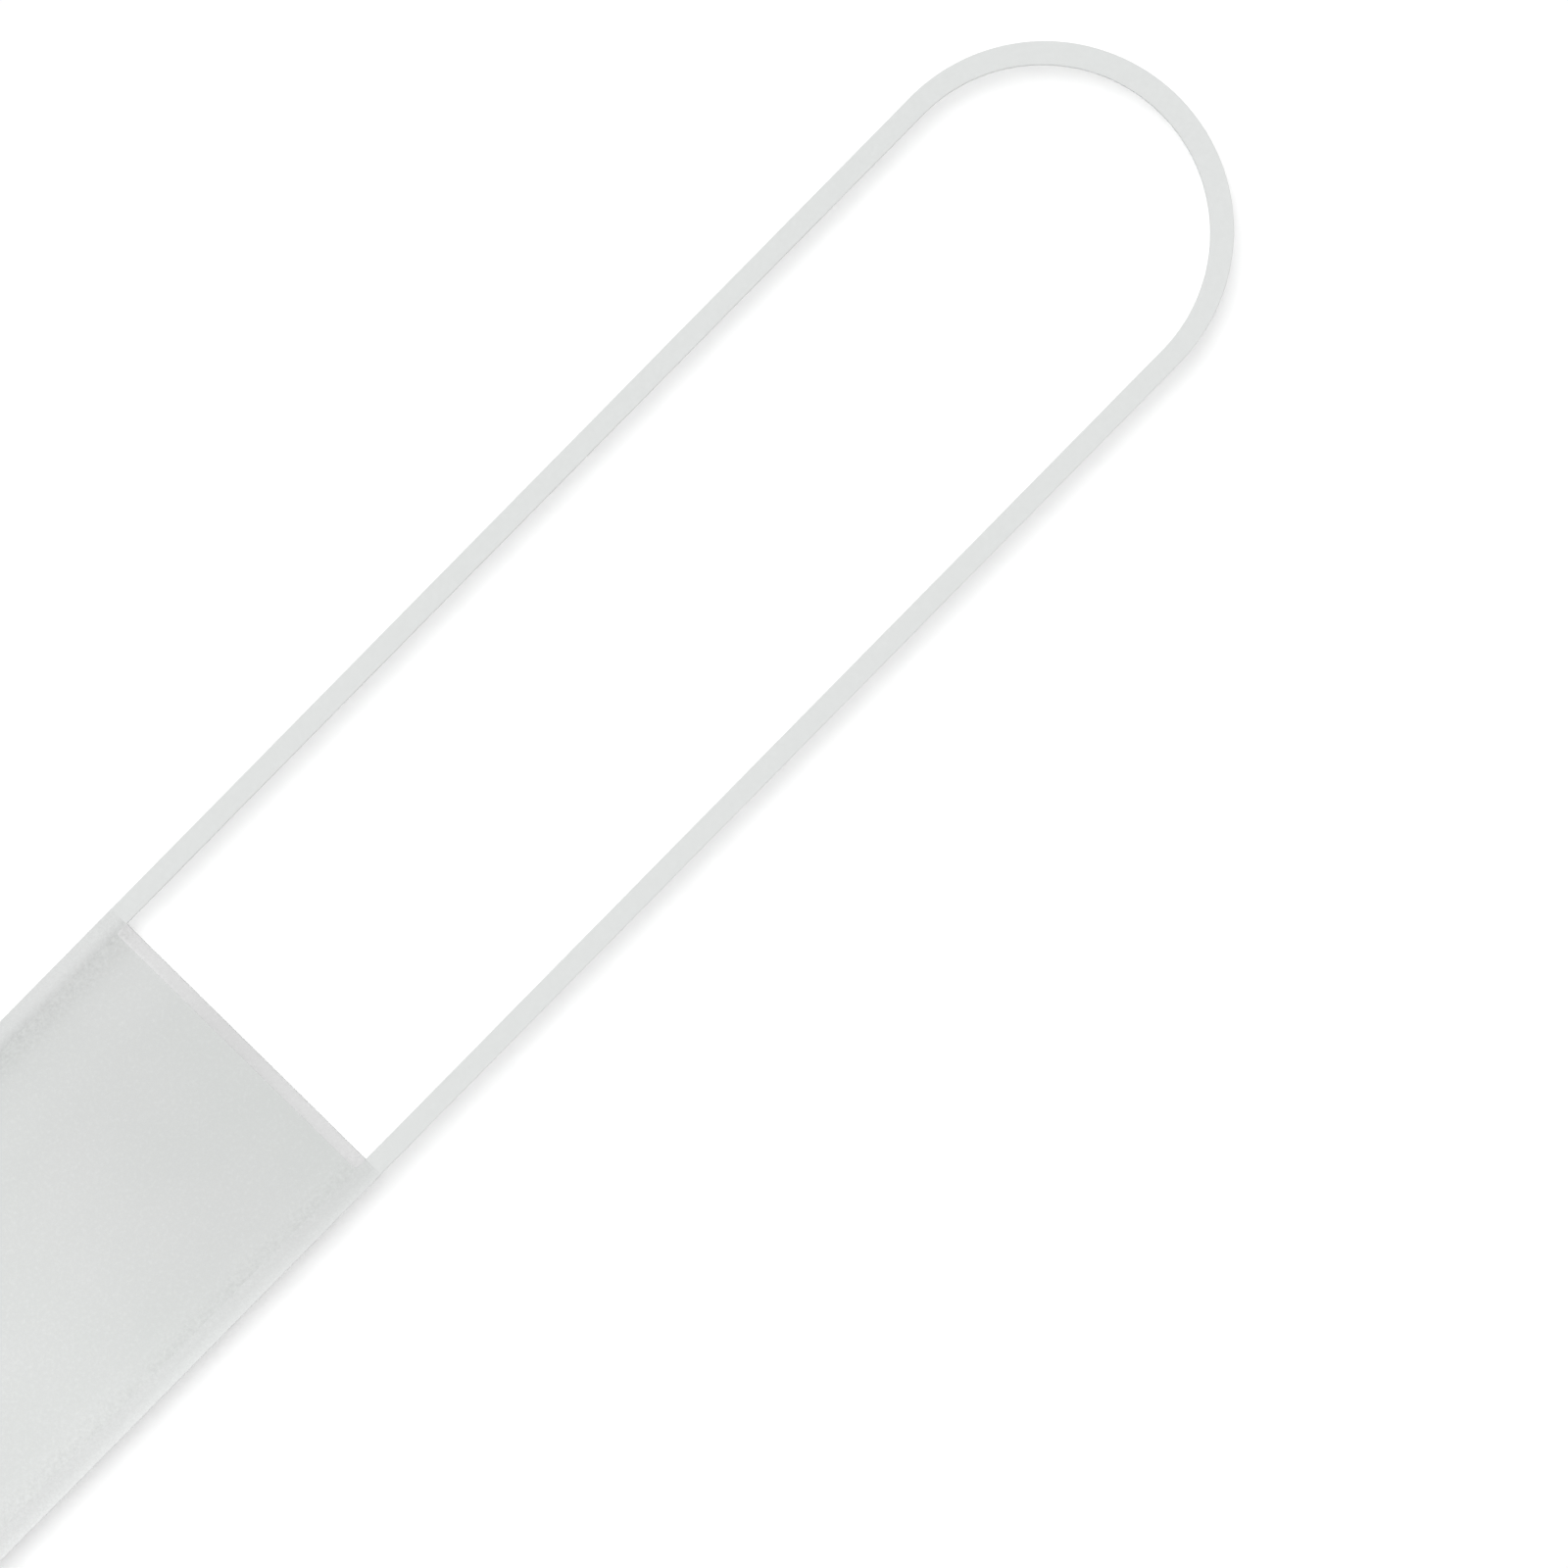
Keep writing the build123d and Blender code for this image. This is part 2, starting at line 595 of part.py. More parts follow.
with BuildPart() as inductors:
    with BuildSketch(Plane.XY.offset(BOARD_TOP)):
        with Locations((-273.0, -19.0), (-273.0, -28.5)):
            RectangleRounded(7.0, 7.0, 1.2)
    extrude(amount=3.0)

with BuildPart() as capacitors:
    with BuildSketch(Plane.XY.offset(BOARD_TOP)):
        with Locations((-274.0, 20.0), (-274.0, 28.0), (-263.0, -34.0)):
            Circle(3.15)
    extrude(amount=5.4)
    chamfer(edges().group_by(Axis.Z)[-1], length=0.4)

socket_places = [BATTERY_Y, PANEL_LEAD_Y, -TUBE_LEAD_Y, TUBE_LEAD_Y]
socket_depth = 4.5

with BuildPart() as wire_sockets:
    with BuildSketch(Plane.XY.offset(BOARD_TOP)):
        with Locations(*[(SOCKET_FACE - socket_depth / 2, y) for y in socket_places]):
            Rectangle(socket_depth, 6.0)
    extrude(amount=3.5)

usb_depth = 7.35
usb_back = 1.0
usb_shell = 0.3
usb_face = FAR_FACE + 0.2

with BuildPart() as usb_socket:
    with BuildSketch(Plane.YZ.offset(usb_face)):
        with Locations((USB_Y, USB_Z)):
            SlotOverall(USB_WIDTH, USB_HEIGHT)
    extrude(amount=usb_depth)
    with BuildSketch(Plane.YZ.offset(usb_face)):
        with Locations((USB_Y, USB_Z)):
            SlotOverall(USB_WIDTH - 2 * usb_shell, USB_HEIGHT - 2 * usb_shell)
    extrude(amount=usb_depth - usb_back, mode=Mode.SUBTRACT)

with BuildPart() as usb_tongue:
    with BuildSketch(Plane.YZ.offset(usb_face + usb_depth - usb_back)):
        with Locations((USB_Y, USB_Z)):
            Rectangle(6.7, 0.7)
    extrude(amount=-5.0)

# ---- Light panel and battery ----------------------------------------------------------------

with BuildPart() as heat_plate:
    with BuildSketch(Plane.XY.offset(PLATE_BOTTOM)):
        with Locations((PANEL_MIDDLE, 0)):
            RectangleRounded(PANEL_LENGTH, 2 * PANEL_HALF, 2.0)
        with Locations(*PANEL_SCREWS):
            Circle(board_hole, mode=Mode.SUBTRACT)
    extrude(amount=PLATE_TOP - PLATE_BOTTOM)

with BuildPart() as panel_board:
    with BuildSketch(Plane.XY.offset(PLATE_TOP)):
        with Locations((PANEL_MIDDLE, 0)):
            RectangleRounded(PANEL_LENGTH, 2 * PANEL_HALF, 2.0)
        with Locations(*PANEL_SCREWS):
            Circle(board_hole, mode=Mode.SUBTRACT)
    extrude(amount=PANEL_BOARD_TOP - PLATE_TOP)

with BuildPart() as panel_leds:
    with BuildSketch(Plane.XY.offset(PANEL_BOARD_TOP)):
        with Locations((PANEL_MIDDLE, 0)):
            with GridLocations(15.0, 14.0, 9, 5):
                Rectangle(3.5, 2.8)
    extrude(amount=0.7)

reflector_wall = 1.0
reflector_base = PANEL_BOARD_TOP + 1.1

with BuildPart() as panel_reflector:
    with BuildSketch(Plane.XY.offset(reflector_base)):
        with Locations((PANEL_MIDDLE, 0)):
            RectangleRounded(PANEL_LENGTH, 2 * PANEL_HALF, 2.0)
            RectangleRounded(
                PANEL_LENGTH - 2 * reflector_wall,
                2 * (PANEL_HALF - reflector_wall),
                1.0,
                mode=Mode.SUBTRACT,
            )
    extrude(amount=LEDGE_TOP - reflector_base)
    with BuildSketch(Plane.XY.offset(PANEL_BOARD_TOP)):
        with Locations(*[(x, 0) for x in (PANEL_ENDS[0] + 3.0, PANEL_ENDS[1] - 3.0)]):
            Rectangle(6.0, 60.0)
        with Locations(*[(PANEL_MIDDLE, y) for y in (2.5 - PANEL_HALF, PANEL_HALF - 2.5)]):
            Rectangle(PANEL_LENGTH - 20.0, 5.0)
    extrude(amount=reflector_base - PANEL_BOARD_TOP)

with BuildPart() as battery_pads:
    with BuildSketch(Plane.XY.offset(TRAY_TOP)):
        with Locations((cell_middle, 0)):
            with GridLocations((cell_zone + CELL_GAP) / 2, 36.0, 2, 2):
                Rectangle(40.0, 10.0)
    extrude(amount=PAD_TOP - TRAY_TOP)

with BuildPart() as battery_cells:
    with BuildSketch(Plane.XY.offset(PAD_TOP)):
        with Locations((cell_middle, 0)):
            with GridLocations((cell_zone + CELL_GAP) / 2, 0, 2, 1):
                RectangleRounded((cell_zone - CELL_GAP) / 2, CELL_WIDTH, 1.5)
    extrude(amount=CELL_TOP - PAD_TOP)
    fillet(edges().filter_by(Plane.XY), radius=0.8)

# ---- Wires inside the casing ------------------------------------------------------------------

cell_face_z = (PAD_TOP + CELL_TOP) / 2
board_edge_z = (PLATE_TOP + PANEL_BOARD_TOP) / 2
strip_z = (STRIP_BOARD_BOTTOM + STRIP_BOARD_TOP) / 2

battery_route = [
    (SOCKET_FACE, WIRE_Z),
    (-234.0, WIRE_Z),
    (-222.0, cell_face_z),
    (CELL_ENDS[0], cell_face_z),
]
panel_route = [
    (SOCKET_FACE, WIRE_Z),
    (-231.0, WIRE_Z),
    (-228.0, board_edge_z),
    (PANEL_ENDS[0], board_edge_z),
]

with BuildPart() as battery_leads:
    for y in (BATTERY_Y - 1.0, BATTERY_Y + 1.0):
        add(bent_lead([(x, y, z) for x, z in battery_route], 0.6).part)

with BuildPart() as panel_leads:
    for y in (PANEL_LEAD_Y - 1.0, PANEL_LEAD_Y + 1.0):
        add(bent_lead([(x, y, z) for x, z in panel_route], 0.5).part)

with BuildPart() as tube_leads:
    for side in (-1, 1):
        tube_route = [
            (SOCKET_FACE, side * TUBE_LEAD_Y, WIRE_Z),
            (-241.0, side * TUBE_LEAD_Y, WIRE_Z),
            (-239.5, side * 34.0, WIRE_Z),
            (-240.0, side * 43.0, strip_z + 0.6),
            (-237.0, side * RAIL_Y, strip_z),
            (STRIP_BOARD_END, side * RAIL_Y, strip_z),
        ]
        add(bent_lead(tube_route, 0.7).part)

# ---- Fasteners --------------------------------------------------------------------------------

case_screws = screws(FRAME_BOSSES + COVER_BOSSES, 1.95, TRAY_BOTTOM, 1.0, 7.0)
rail_screws = screws(RAIL_SCREWS, 1.65, TRAY_BOTTOM, 0.9, 3.6)
mount_screws = screws(BLOCK_SCREWS, 2.25, TRAY_BOTTOM, 1.25, 6.5)


def pan_screws(places, seat_z, length):
    """Small pan-head screws, pointing down from seat_z, as separate solids."""
    with BuildPart() as group:
        with BuildSketch(Plane.XY.offset(seat_z)):
            with Locations(*places):
                Circle(1.9)
        extrude(amount=1.0)
        with BuildSketch(Plane.XY.offset(seat_z)):
            with Locations(*places):
                Circle(0.95)
        extrude(amount=-length)
    return group


board_screws = pan_screws(BOARD_SCREWS, BOARD_TOP, 2.8)
panel_screws = pan_screws(PANEL_SCREWS, PANEL_BOARD_TOP, 5.0)

# ---- Output -----------------------------------------------------------------------------------

pieces = {
    "light_tube": light_tube,
    "tube_base_strip": tube_base_strip,
    "tube_spine": tube_spine,
    "tube_led_board": tube_led_board,
    "tube_leds": tube_leds,
    "light_frame": light_frame,
    "diffuser_panel": diffuser_panel,
    "end_bar": end_bar,
    "bottom_tray": bottom_tray,
    "rubber_strips": rubber_strips,
    "control_cover": control_cover,
    "mount_block": mount_block,
    "dimmer_wheel": dimmer_wheel,
    "dimmer_pot": dimmer_pot,
    "wheel_axle": wheel_axle,
    "power_button": power_button,
    "colour_button": colour_button,
    "tact_switches": tact_switches,
    "level_leds": level_leds,
    "light_pipe": light_pipe,
    "driver_board": driver_board,
    "driver_chips": driver_chips,
    "inductors": inductors,
    "capacitors": capacitors,
    "wire_sockets": wire_sockets,
    "usb_socket": usb_socket,
    "usb_tongue": usb_tongue,
    "heat_plate": heat_plate,
    "panel_board": panel_board,
    "panel_leds": panel_leds,
    "panel_reflector": panel_reflector,
    "battery_pads": battery_pads,
    "battery_cells": battery_cells,
    "battery_leads": battery_leads,
    "panel_leads": panel_leads,
    "tube_leads": tube_leads,
    "case_screws": case_screws,
    "rail_screws": rail_screws,
    "mount_screws": mount_screws,
    "board_screws": board_screws,
    "panel_screws": panel_screws,
}
for name, piece in pieces.items():
    piece.part.label = name
    export_step(piece.part, f"parts/{name}.step")
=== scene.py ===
"""LED light tube: the looks, floor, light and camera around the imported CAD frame.

Everything is in metres, in the frame of the CAD model: +X runs along the length to the bow of
the loop, +Y across, +Z out of the lit face.
"""

import json
import math

import bmesh
import bpy
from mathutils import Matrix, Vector


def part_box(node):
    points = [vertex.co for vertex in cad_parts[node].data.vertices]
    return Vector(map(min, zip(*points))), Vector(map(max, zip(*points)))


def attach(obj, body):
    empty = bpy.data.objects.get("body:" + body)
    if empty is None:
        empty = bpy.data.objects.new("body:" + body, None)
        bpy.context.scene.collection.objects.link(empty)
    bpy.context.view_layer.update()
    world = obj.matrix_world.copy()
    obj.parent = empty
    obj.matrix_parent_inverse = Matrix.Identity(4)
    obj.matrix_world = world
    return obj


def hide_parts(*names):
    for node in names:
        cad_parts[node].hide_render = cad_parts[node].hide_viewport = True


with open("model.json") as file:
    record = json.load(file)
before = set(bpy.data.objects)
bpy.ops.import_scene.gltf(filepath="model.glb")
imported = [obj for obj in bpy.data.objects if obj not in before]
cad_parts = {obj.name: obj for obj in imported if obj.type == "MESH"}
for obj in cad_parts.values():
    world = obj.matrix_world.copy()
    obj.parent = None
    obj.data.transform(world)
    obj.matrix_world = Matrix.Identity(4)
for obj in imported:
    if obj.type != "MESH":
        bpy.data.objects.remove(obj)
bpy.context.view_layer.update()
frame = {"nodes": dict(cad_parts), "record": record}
nodes = frame["nodes"]

# ---- Places taken from the frame ------------------------------------------------------------

TUBE_LOW, TUBE_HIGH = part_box("light_tube")
PANEL_LOW, PANEL_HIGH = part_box("diffuser_panel")
BAR_LOW, BAR_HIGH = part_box("end_bar")
HALF_WIDTH = TUBE_HIGH.y
BORDER = TUBE_LOW.x
BOW_CENTRE = TUBE_HIGH.x - HALF_WIDTH
TOP = TUBE_HIGH.z
TUBE_WIDTH = 0.006
WALL = 0.0012  # of the loop's sleeve
BOW_EXTRA = 0.0008  # how much thicker the sleeve is at the tip of the bow
INNER_HALF = HALF_WIDTH - TUBE_WIDTH
DISH_DEPTH = 0.0008  # how far the middle of the diffuser's face lies below its long edges
DISH_SLOPE = 0.008  # width of the slope along each long edge
BAR_CORNER = 0.001  # rounding of the bar's two corners on the body's side
HAIRLINE = 0.000002  # gap between fixed pieces that meet
BAR_STEP = 0.00015  # how far the bar stands out of the dished face
PAINTED_WALL_LIGHT = 1.3  # painted light: how much paler translucent plastic is drawn on its walls and rounded edges than on its faces
PANEL_LIFT = 1.12  # how much paler the diffuser is well away from the border


# ---- Node helpers ---------------------------------------------------------------------------


class Shader:
    """A Principled material with object coordinates and short ways to wire patterns into it."""

    def __init__(self, name, roughness=0.5, metallic=0.0, **sockets):
        self.material = bpy.data.materials.new(name)
        self.material.use_nodes = True
        self.tree = self.material.node_tree
        self.bsdf = self.tree.nodes["Principled BSDF"]
        self.bsdf.inputs["Roughness"].default_value = roughness
        self.bsdf.inputs["Metallic"].default_value = metallic
        for socket, value in sockets.items():
            self.bsdf.inputs[socket.replace("_", " ")].default_value = value
        coordinates = self.add("ShaderNodeTexCoord")
        self.place = coordinates.outputs["Object"]
        self.facing = coordinates.outputs["Normal"]

    def add(self, kind, **settings):
        node = self.tree.nodes.new(kind)
        for setting, value in settings.items():
            setattr(node, setting, value)
        return node

    def wire(self, source, target):
        self.tree.links.new(source, target)

    def stretch(self, scale):
        """Object coordinates scaled on each axis, for grain that runs one way."""
        mapping = self.add("ShaderNodeMapping")
        mapping.inputs["Scale"].default_value = scale
        self.wire(self.place, mapping.inputs["Vector"])
        return mapping.outputs["Vector"]

    def noise(self, size, detail=2.0, place=None, rough=0.5):
        """Noise with features of about size metres."""
        node = self.add("ShaderNodeTexNoise")
        node.inputs["Scale"].default_value = 1 / size
        node.inputs["Detail"].default_value = detail
        node.inputs["Roughness"].default_value = rough
        self.wire(place or self.place, node.inputs["Vector"])
        return node.outputs["Fac"]

    def ranged(self, value, low, high, new_low, new_high, smooth=False):
        """The value mapped from low..high to new_low..new_high, and clamped there."""
        node = self.add("ShaderNodeMapRange")
        node.interpolation_type = "SMOOTHSTEP" if smooth else "LINEAR"
        self.wire(value, node.inputs["Value"])
        limits = {"From Min": low, "From Max": high, "To Min": new_low, "To Max": new_high}
        for socket, number in limits.items():
            node.inputs[socket].default_value = number
        return node.outputs["Result"]

    def math(self, operation, first, second):
        node = self.add("ShaderNodeMath", operation=operation)
        for socket, value in zip(node.inputs, (first, second)):
            if isinstance(value, (int, float)):
                socket.default_value = value
            else:
                self.wire(value, socket)
        return node.outputs[0]

    def axis(self, letter, vector=None):
        node = self.add("ShaderNodeSeparateXYZ")
        self.wire(vector or self.place, node.inputs[0])
        return node.outputs[letter]

    def colour_between(self, factor, first, second):
        node = self.add("ShaderNodeMix", data_type="RGBA")
        self.wire(factor, node.inputs["Factor"])
        for socket, colour in (("A", first), ("B", second)):
            plug = [i for i in node.inputs if i.name == socket and i.type == "RGBA"][0]
            if isinstance(colour, tuple):
                plug.default_value = (*colour, 1)
            else:
                self.wire(colour, plug)
        return [o for o in node.outputs if o.type == "RGBA"][0]

    def scaled(self, colour, level):
        """The colour times a level that changes from place to place."""
        node = self.add("ShaderNodeVectorMath", operation="SCALE")
        self.wire(colour, node.inputs[0])
        self.wire(level, node.inputs["Scale"])
        return node.outputs[0]

    def ridge(self, value, centre, width, gain):
        """A level of 1 that rises softly by gain around value = centre."""
        distance = self.math("ABSOLUTE", self.math("SUBTRACT", value, centre), 0)
        return self.ranged(distance, 0, width, 1 + gain, 1, smooth=True)

    def only_where(self, level, mask):
        """The level where the mask is 1, fading to 1 where the mask is 0."""
        change = self.math("MULTIPLY", self.math("SUBTRACT", level, 1), mask)
        return self.math("ADD", change, 1)

    def tint(self, colour):
        self.wire(colour, self.bsdf.inputs["Base Color"])

    def roughen(self, value):
        self.wire(value, self.bsdf.inputs["Roughness"])

    def bump(self, height, distance, strength=1.0):
        node = self.add("ShaderNodeBump")
        node.inputs["Distance"].default_value = distance
        node.inputs["Strength"].default_value = strength
        self.wire(height, node.inputs["Height"])
        self.wire(node.outputs["Normal"], self.bsdf.inputs["Normal"])


def shade(colour, amount):
    return tuple(channel * amount for channel in colour)


# ---- Materials ------------------------------------------------------------------------------


def frosted(name, colour, grain, grain_size, cloud=0.015, drift=0.35, levels=None):
    """Translucent plastic with a sandblasted face: fine grain, slow clouds and a soft gloss.

    The clouds also drift part of the way to a neutral grey of the same brightness. Walls and
    rounded edges are painted paler than the faces. This painted light stands in for light that
    comes through the plastic, and it lifts the shade on the walls. levels is a function that
    yields extra brightness levels, which vary over the piece. Some of them are painted light
    and shade.
    """
    s = Shader(name)
    s.bsdf.inputs["Specular IOR Level"].default_value = 0.35
    grey = sum(colour) / 3
    drifted = tuple(channel + drift * (grey - channel) for channel in colour)
    clouds = s.ranged(s.noise(0.05, 3.0), 0.35, 0.65, 0, 1)
    speckle = s.noise(grain_size, 3.0, rough=0.7)
    result = s.colour_between(clouds, shade(colour, 1 - cloud), shade(drifted, 1 + cloud))
    result = s.scaled(result, s.ranged(speckle, 0.25, 0.75, 1 - grain, 1 + grain))
    # painted light: walls and rounded edges drawn paler the further they face away from up
    result = s.scaled(result, s.ranged(s.axis("Z", s.facing), 0.66, 1.0, PAINTED_WALL_LIGHT, 1.0))
    for level in levels(s) if levels else []:
        result = s.scaled(result, level)
    s.tint(result)
    s.roughen(s.ranged(speckle, 0.3, 0.7, 0.42, 0.58))
    s.bump(s.noise(grain_size / 2, 3.0), 0.00002, 0.5)
    return s


def panel_tones_and_painted_light(s):
    """The diffuser is a little darker near the border, and has long soft streaks. Its long edges
    are painted paler, a painted light over the shade of the dish's slopes.
    """
    x, y = s.axis("X"), s.axis("Y")
    yield s.ranged(x, BORDER - 0.117, BORDER - 0.027, PANEL_LIFT, 1.0, smooth=True)
    yield s.ridge(y, 0.030, 0.012, 0.02)
    # painted light on these two lines: paler along both long edges, over the shade of the dish's
    # slopes
    yield s.ridge(y, INNER_HALF, 0.005, 0.035)
    yield s.ridge(y, -0.044, 0.008, 0.015)


def rim_tones_and_painted_light(s):
    """Tones along the rims: the +Y rim is darker towards its inner edge, a painted shade. The -Y
    rim is darker near the border, and paler towards its outer edge, a painted highlight over the
    shade of that edge.
    """
    x, y = s.axis("X"), s.axis("Y")
    plus_side = s.math("GREATER_THAN", y, 0)
    minus_side = s.math("LESS_THAN", y, 0)
    # painted shade: the +Y rim darker towards its inner edge
    inner = s.ranged(y, INNER_HALF, INNER_HALF + 0.0033, 0.91, 1.0)
    past_border = s.ranged(x, BORDER - 0.085, BORDER - 0.012, 1.02, 0.93, smooth=True)
    # painted highlight: the -Y rim paler towards its outer edge, over the shade there
    outer = s.ranged(y, -HALF_WIDTH, -HALF_WIDTH + 0.0035, 1.13, 1.0)
    for level, side in ((inner, plus_side), (past_border, minus_side), (outer, minus_side)):
        yield s.only_where(level, side)


def bar_tones_and_painted_highlight(s):
    """The bar is paler at both ends than in its middle, and has a painted highlight along its
    edge on the body's side at its +Y end.
    """
    x, y = s.axis("X"), s.axis("Y")
    yield s.ridge(y, 0.003, 0.030, -0.07)
    # painted highlight: the edge on the body's side drawn paler, at the +Y end only
    painted_edge_highlight = s.ranged(x, BAR_LOW.x, BAR_LOW.x + 0.0014, 1.09, 1.0, smooth=True)
    highlight_end_mask = s.ranged(y, 0.012, 0.032, 0, 1, smooth=True)
    yield s.only_where(painted_edge_highlight, highlight_end_mask)


def plastic(name, colour, rough=0.55, texture=0.00035, relief=0.00001):
    """Moulded plastic with a fine spark-eroded texture."""
    s = Shader(name, rough)
    clouds = s.ranged(s.noise(0.02, 3.0), 0.3, 0.7, 0, 1)
    s.tint(s.colour_between(clouds, shade(colour, 0.97), shade(colour, 1.03)))
    pits = s.noise(texture, 2.0)
    s.roughen(s.ranged(pits, 0.3, 0.7, rough - 0.07, rough + 0.07))
    s.bump(pits, relief, 0.6)
    return s


def metal(name, colour, rough=0.3, along=(1.0, 12.0, 12.0)):
    """Drawn or machined metal, with fine lines that run along one axis."""
    s = Shader(name, rough, 1.0)
    lines = s.noise(0.004, 3.0, place=s.stretch(along))
    streaks = s.ranged(lines, 0.3, 0.7, 0, 1)
    s.tint(s.colour_between(streaks, shade(colour, 0.92), shade(colour, 1.04)))
    s.roughen(s.ranged(lines, 0.3, 0.7, rough - 0.08, rough + 0.1))
    s.bump(lines, 0.00001, 0.4)
    return s


def rubber(name, colour):
    s = Shader(name, 0.8)
    grain = s.noise(0.0006, 4.0)
    s.tint(s.colour_between(grain, shade(colour, 0.85), shade(colour, 1.15)))
    s.roughen(s.ranged(grain, 0.3, 0.7, 0.7, 0.92))
    s.bump(grain, 0.00003, 0.6)
    return s


def circuit(name, colour, trace):
    """Solder mask over copper tracks: a pattern of fine right-angled lines."""
    s = Shader(name, 0.3)
    tracks = s.add("ShaderNodeTexBrick")
    tracks.inputs["Scale"].default_value = 1.0
    tracks.inputs["Brick Width"].default_value = 0.009
    tracks.inputs["Row Height"].default_value = 0.0022
    tracks.inputs["Mortar Size"].default_value = 0.00018
    s.wire(s.place, tracks.inputs["Vector"])
    s.tint(s.colour_between(tracks.outputs["Fac"], colour, trace))
    s.roughen(s.ranged(s.noise(0.003), 0.3, 0.7, 0.22, 0.4))
    s.bump(tracks.outputs["Fac"], 0.00002, 0.5)
    return s


def clear_plastic(name):
    s = Shader(name, 0.15, Transmission_Weight=0.6)
    haze = s.noise(0.0015, 3.0)
    s.tint(s.colour_between(haze, (0.82, 0.85, 0.85), (0.9, 0.92, 0.92)))
    s.roughen(s.ranged(haze, 0.3, 0.7, 0.1, 0.25))
    return s


SLOTS = {
    "opal_sleeve": frosted(
        "opal_sleeve", (0.652, 0.667, 0.660), 0.01, 0.0006, cloud=0.002, drift=0.1
    ),
    "frosted_plastic": frosted(
        "frosted_plastic", (0.624, 0.639, 0.632), 0.13, 0.0009, levels=rim_tones_and_painted_light
    ),
    "frosted_panel": frosted(
        "frosted_panel", (0.573, 0.589, 0.579), 0.13, 0.0011, levels=panel_tones_and_painted_light
    ),
    "frosted_bar": frosted(
        "frosted_bar", (0.633, 0.633, 0.633), 0.13, 0.0009, cloud=0.005, levels=bar_tones_and_painted_highlight
    ),
    "grey_casing": plastic("grey_casing", (0.64, 0.655, 0.65)),
    "button_plastic": plastic("button_plastic", (0.46, 0.47, 0.47), rough=0.4, texture=0.0006),
    "dark_grip": rubber("dark_grip", (0.1, 0.1, 0.105)),
    "grey_rubber": rubber("grey_rubber", (0.3, 0.31, 0.31)),
    "clear_plastic": clear_plastic("clear_plastic"),
    "white_plastic": plastic("white_plastic", (0.76, 0.76, 0.75), rough=0.45),
    "dark_plastic": plastic("dark_plastic", (0.03, 0.03, 0.033), rough=0.45),
    "rail_aluminium": metal("rail_aluminium", (0.78, 0.79, 0.8), rough=0.32),
    "block_aluminium": metal(
        "block_aluminium", (0.58, 0.59, 0.6), rough=0.38, along=(12.0, 1.0, 12.0)
    ),
    "can_aluminium": metal(
        "can_aluminium", (0.8, 0.81, 0.82), rough=0.35, along=(12.0, 12.0, 1.0)
    ),
    "steel": metal("steel", (0.6, 0.6, 0.61), rough=0.3, along=(6.0, 6.0, 1.0)),
    "board_white": circuit("board_white", (0.8, 0.8, 0.78), (0.7, 0.7, 0.68)),
    "board_green": circuit("board_green", (0.015, 0.15, 0.06), (0.03, 0.24, 0.1)),
    "led_package": plastic("led_package", (0.85, 0.78, 0.42), rough=0.3, texture=0.0008),
    "cell_pouch": metal("cell_pouch", (0.75, 0.76, 0.78), rough=0.4, along=(3.0, 3.0, 3.0)),
    "foam_pad": rubber("foam_pad", (0.16, 0.16, 0.16)),
    "wire_jacket": rubber("wire_jacket", (0.72, 0.72, 0.7)),
}

for part in frame["record"]["subparts"]:
    mesh_object = nodes[part["node"]]
    mesh_object.data.materials.clear()
    mesh_object.data.materials.append(SLOTS[part["material_slot"]].material)


def wear(piece, slot, body="housing"):
    """Gives a new piece the material of a slot and the body that it rides on."""
    piece.data.materials.clear()
    piece.data.materials.append(SLOTS[slot].material)
    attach(piece, body)


def new_piece(name, bm):
    """A mesh object from bmesh, with smooth faces and sharp edges kept."""
    bmesh.ops.recalc_face_normals(bm, faces=bm.faces)
    mesh = bpy.data.meshes.new(name)
    bm.to_mesh(mesh)
    bm.free()
    for face in mesh.polygons:
        face.use_smooth = True
    mesh.set_sharp_from_angle(angle=math.radians(40))
    piece = bpy.data.objects.new(name, mesh)
    bpy.context.scene.collection.objects.link(piece)
    return piece


def join_rings(bm, rings):
    """Faces between each ring of vertices and the next."""
    count = len(rings[0])
    for ring, after in zip(rings, rings[1:]):
        for i in range(count):
            j = (i + 1) % count
            bm.faces.new((ring[i], ring[j], after[j], after[i]))


# ---- Loop sleeve ----------------------------------------------------------------------------


def corner_arc(centre_x, centre_z, radius, start, end, steps=5):
    """Points of a quarter round in the section's plane, angles in degrees."""
    turns = [math.radians(start + (end - start) * i / steps) for i in range(steps + 1)]
    return [(centre_x + radius * math.cos(t), centre_z + radius * math.sin(t)) for t in turns]


def sleeve_section(inner_y, round_over=0.0002):
    """The sleeve's section as (distance from the centre line of the body, height) points.

    The section is a channel that is open below, with rounded outer corners. A point on each side
    of the flat top keeps the shading of the top flat.
    """
    outer_y = HALF_WIDTH
    low, high = TUBE_LOW.z, TOP
    foot_round = round_over / 2
    cavity_outer = HALF_WIDTH - WALL
    cavity_inner = INNER_HALF + WALL
    roof = high - WALL
    points = corner_arc(outer_y - round_over, high - round_over, round_over, 0, 90)
    points += [(outer_y - 2 * round_over, high), (inner_y + 2 * round_over, high)]
    points += corner_arc(inner_y + round_over, high - round_over, round_over, 90, 180)
    points += corner_arc(inner_y + foot_round, low + foot_round, foot_round, 180, 270, 3)
    points += [(cavity_inner, low), (cavity_inner, roof), (cavity_outer, roof), (cavity_outer, low)]
    points += corner_arc(outer_y - foot_round, low + foot_round, foot_round, 270, 360, 3)
    return points


